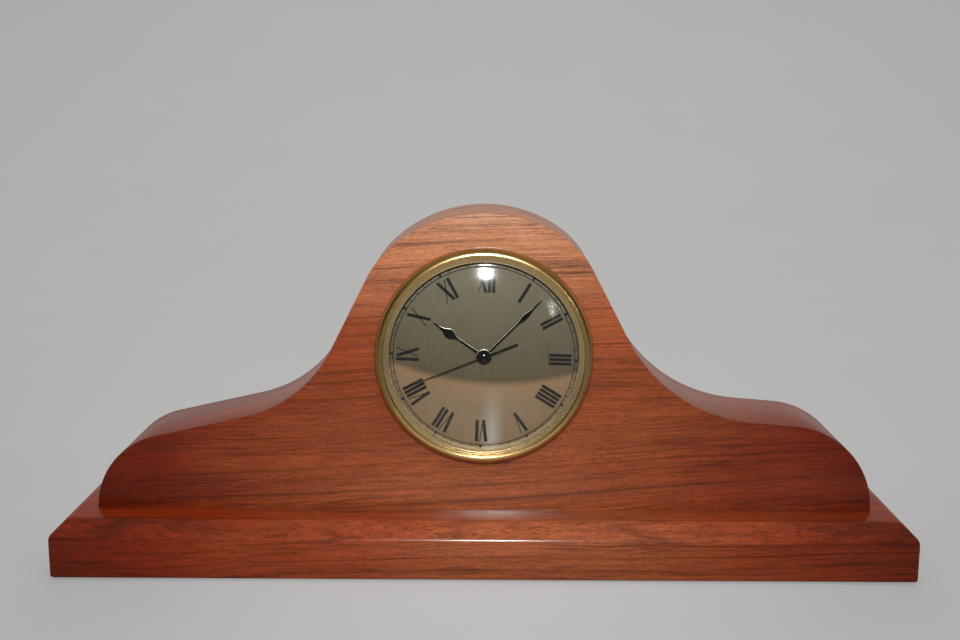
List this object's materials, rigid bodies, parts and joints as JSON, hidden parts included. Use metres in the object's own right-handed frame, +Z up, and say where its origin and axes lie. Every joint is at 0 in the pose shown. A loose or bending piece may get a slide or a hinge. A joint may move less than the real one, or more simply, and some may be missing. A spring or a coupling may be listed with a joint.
{
  "type": "mantel clock",
  "caption": "Wooden tambour mantel clock on a bevelled plinth, with a push-in quartz insert: brass bezel, convex glass, brushed dial, black hands and a working gear train",
  "frame": {"origin": "middle of the felt's underside, where the clock stands on its shelf", "axes": "X runs along the clock to the viewer's right, the dial faces -Y, Z is up"},
  "size_m": [0.355, 0.083, 0.1492],
  "materials": {
    "cherry_wood": "satin clear lacquer over a reddish brown stain",
    "green_felt": "matt felt",
    "polished_brass": "spun and polished, lacquered",
    "clear_glass": "clear, convex",
    "white_ring": "white, satin",
    "dial_brass": "brushed upright, lacquered, printed in black",
    "black_enamel": "gloss black",
    "black_plastic": "fine grained",
    "black_rubber": "matt",
    "clear_gasket": "soft vinyl",
    "zinc_steel": "bright zinc plate",
    "core_steel": "bare stamped sheet",
    "white_plastic": "moulded acetal",
    "natural_plastic": "moulded, unpainted",
    "copper_wire": "enamelled copper wire",
    "green_board": "glass epoxy board with solder mask",
    "black_resin": "cast epoxy drop",
    "nickel_can": "drawn metal can",
    "magnet_black": "sintered magnet",
    "cell_jacket": "plain unmarked wrapper"
  },
  "bodies": {
    "case": {"tambour_body": "cherry_wood", "base_plinth": "cherry_wood", "felt_pad": "green_felt", "base_screws": "zinc_steel"},
    "insert": {"bezel": "polished_brass", "lens": "clear_glass", "lens_gasket": "clear_gasket", "sight_ring": "white_ring", "dial": "dial_brass", "insert_cup": "black_plastic", "grip_ring": "black_rubber", "movement_screws": "zinc_steel", "front_case": "black_plastic", "back_case": "black_plastic", "train_plate": "natural_plastic", "stator": "core_steel", "coil_bobbin": "white_plastic", "coil_winding": "copper_wire", "circuit_board": "green_board", "driver_chip": "black_resin", "quartz_crystal": "nickel_can", "contact_positive": "zinc_steel", "contact_negative": "zinc_steel"},
    "cell": {"battery_cell": "cell_jacket"},
    "rotor": {"rotor_magnet": "magnet_black", "rotor_pinion": "white_plastic"},
    "intermediate": {"intermediate_wheel": "white_plastic"},
    "third": {"third_wheel": "white_plastic"},
    "centre": {"centre_wheel": "white_plastic"},
    "seconds": {"seconds_wheel": "white_plastic", "second_hand": "black_enamel", "hand_cap": "black_enamel"},
    "minute": {"cannon_pinion": "white_plastic", "minute_hand": "black_enamel"},
    "reverser": {"reverser_wheel": "white_plastic"},
    "hour": {"hour_wheel": "white_plastic", "hour_hand": "black_enamel"},
    "knob": {"set_knob": "black_plastic"}
  },
  "joints": [
    {"name": "insert_slide", "type": "slide", "parent": "case", "child": "insert", "axis": [0, -1, 0], "range_m": [0, 0.03]},
    {"name": "cell_slide", "type": "slide", "parent": "insert", "child": "cell", "axis": [0, 1, 0], "range_m": [0, 0.04]},
    {"name": "second_turn", "type": "hinge", "parent": "insert", "child": "seconds", "pos_m": [0, -0.01, 0.0905], "axis": [0, 1, 0], "continuous": true},
    {"name": "rotor_turn", "type": "hinge", "parent": "insert", "child": "rotor", "pos_m": [0.01163, -0.01, 0.10075], "axis": [0, 1, 0], "continuous": true},
    {"name": "intermediate_turn", "type": "hinge", "parent": "insert", "child": "intermediate", "pos_m": [0.0044, -0.01, 0.09812], "axis": [0, 1, 0], "continuous": true},
    {"name": "third_turn", "type": "hinge", "parent": "insert", "child": "third", "pos_m": [-0.0085, -0.01, 0.0905], "axis": [0, 1, 0], "continuous": true},
    {"name": "centre_turn", "type": "hinge", "parent": "insert", "child": "centre", "pos_m": [0, -0.01, 0.0905], "axis": [0, 1, 0], "continuous": true},
    {"name": "minute_turn", "type": "hinge", "parent": "insert", "child": "minute", "pos_m": [0, -0.01, 0.0905], "axis": [0, 1, 0], "continuous": true},
    {"name": "reverser_turn", "type": "hinge", "parent": "insert", "child": "reverser", "pos_m": [0.0052, -0.01, 0.0875], "axis": [0, 1, 0], "continuous": true},
    {"name": "hour_turn", "type": "hinge", "parent": "insert", "child": "hour", "pos_m": [0, -0.01, 0.0905], "axis": [0, 1, 0], "continuous": true},
    {"name": "knob_turn", "type": "hinge", "parent": "insert", "child": "knob", "pos_m": [0.0112, -0.01, 0.0875], "axis": [0, 1, 0], "continuous": true}
  ],
  "couplings": [
    {"joint": "rotor_turn", "follows": "second_turn", "ratio": 30},
    {"joint": "intermediate_turn", "follows": "second_turn", "ratio": -5},
    {"joint": "third_turn", "follows": "second_turn", "ratio": -0.13333},
    {"joint": "centre_turn", "follows": "second_turn", "ratio": 0.016667},
    {"joint": "reverser_turn", "follows": "minute_turn", "ratio": -0.33333},
    {"joint": "hour_turn", "follows": "minute_turn", "ratio": 0.083333},
    {"joint": "knob_turn", "follows": "minute_turn", "ratio": 1}
  ]
}
